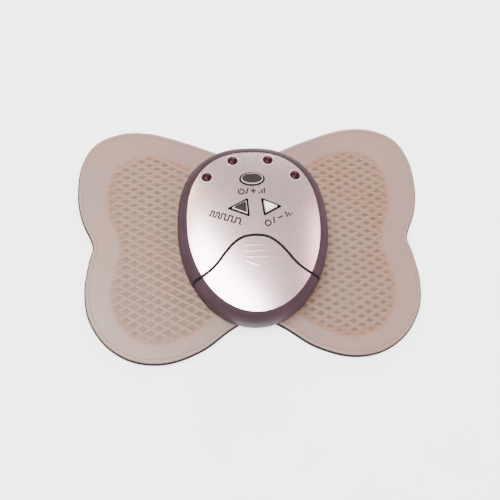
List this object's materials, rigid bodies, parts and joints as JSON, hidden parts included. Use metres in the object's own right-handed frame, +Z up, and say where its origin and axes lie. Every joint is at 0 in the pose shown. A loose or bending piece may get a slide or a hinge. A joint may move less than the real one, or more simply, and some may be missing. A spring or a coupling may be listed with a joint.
{
  "type": "cordless muscle stimulator pad",
  "caption": "Butterfly-shaped silicone gel pad with an egg-shaped battery controller snapped on its middle, with press keys, lamps and a sliding battery door.",
  "frame": {"origin": "on the surface the pad lies on, under the centre of the pad's outline", "axes": "+X across the wings to the user's right, +Y away from the battery door, +Z up out of the pad"},
  "size_m": [0.175, 0.1243, 0.0205],
  "materials": {
    "silicone": "satin translucent",
    "gel": "tacky gloss",
    "film": "woven silver cloth",
    "silver": "metallic silver paint",
    "mauve": "satin",
    "dark_key": "satin",
    "white_key": "satin",
    "lamp": "clear dark red",
    "board": "solder mask",
    "black_plastic": "matte",
    "cell_jacket": "printed jacket",
    "steel": "nickel plated",
    "copper": "enamelled winding",
    "wire_jacket": "insulation"
  },
  "bodies": {
    "pad": {"pad_centre": "silicone", "electrode_centre_left": "film", "electrode_centre_right": "film", "gel_centre_left": "gel", "gel_centre_right": "gel", "snap_socket_left": "steel", "snap_socket_right": "steel"},
    "left_wing": {"pad_wing_left": "silicone", "electrode_wing_left": "film", "gel_wing_left": "gel"},
    "right_wing": {"pad_wing_right": "silicone", "electrode_wing_right": "film", "gel_wing_right": "gel"},
    "battery_door": {"battery_door": "silver"},
    "on_button": {"on_button": "dark_key"},
    "program_button": {"program_button": "dark_key"},
    "off_button": {"off_button": "white_key"},
    "controller": {"upper_cover": "silver", "lower_case": "mauve", "led_1": "lamp", "led_2": "lamp", "led_3": "lamp", "led_4": "lamp", "on_switch": "black_plastic", "program_switch": "black_plastic", "off_switch": "black_plastic", "main_board": "board", "control_chip": "black_plastic", "boost_coil": "copper", "storage_capacitor": "black_plastic", "cell_left": "cell_jacket", "cell_right": "cell_jacket", "contact_bridge": "steel", "contact_positive": "steel", "contact_negative": "steel", "snap_stud_left": "steel", "snap_stud_right": "steel", "stud_lead_left": "wire_jacket", "stud_lead_right": "wire_jacket", "case_screw_1": "steel", "case_screw_2": "steel", "case_screw_3": "steel", "case_screw_4": "steel"}
  },
  "joints": [
    {"name": "controller_lift", "type": "slide", "parent": "pad", "child": "controller", "axis": [0, 0, 1], "range_m": [0, 0.02]},
    {"name": "battery_door_slide", "type": "slide", "parent": "controller", "child": "battery_door", "axis": [0, -1, 0], "range_m": [0, 0.045]},
    {"name": "on_button_press", "type": "slide", "parent": "controller", "child": "on_button", "axis": [0, 0, -1], "range_m": [0, 0.0008], "stiffness_N_per_m": 300},
    {"name": "program_button_press", "type": "slide", "parent": "controller", "child": "program_button", "axis": [0, 0, -1], "range_m": [0, 0.0008], "stiffness_N_per_m": 300},
    {"name": "off_button_press", "type": "slide", "parent": "controller", "child": "off_button", "axis": [0, 0, -1], "range_m": [0, 0.0008], "stiffness_N_per_m": 300},
    {"name": "left_wing_flex", "type": "hinge", "parent": "pad", "child": "left_wing", "pos_m": [-0.046, 0, 0.0012], "axis": [0, 1, 0], "range_deg": [-45, 45], "stiffness_Nm_per_rad": 0.05},
    {"name": "right_wing_flex", "type": "hinge", "parent": "pad", "child": "right_wing", "pos_m": [0.046, 0, 0.0012], "axis": [0, -1, 0], "range_deg": [-45, 45], "stiffness_Nm_per_rad": 0.05}
  ]
}
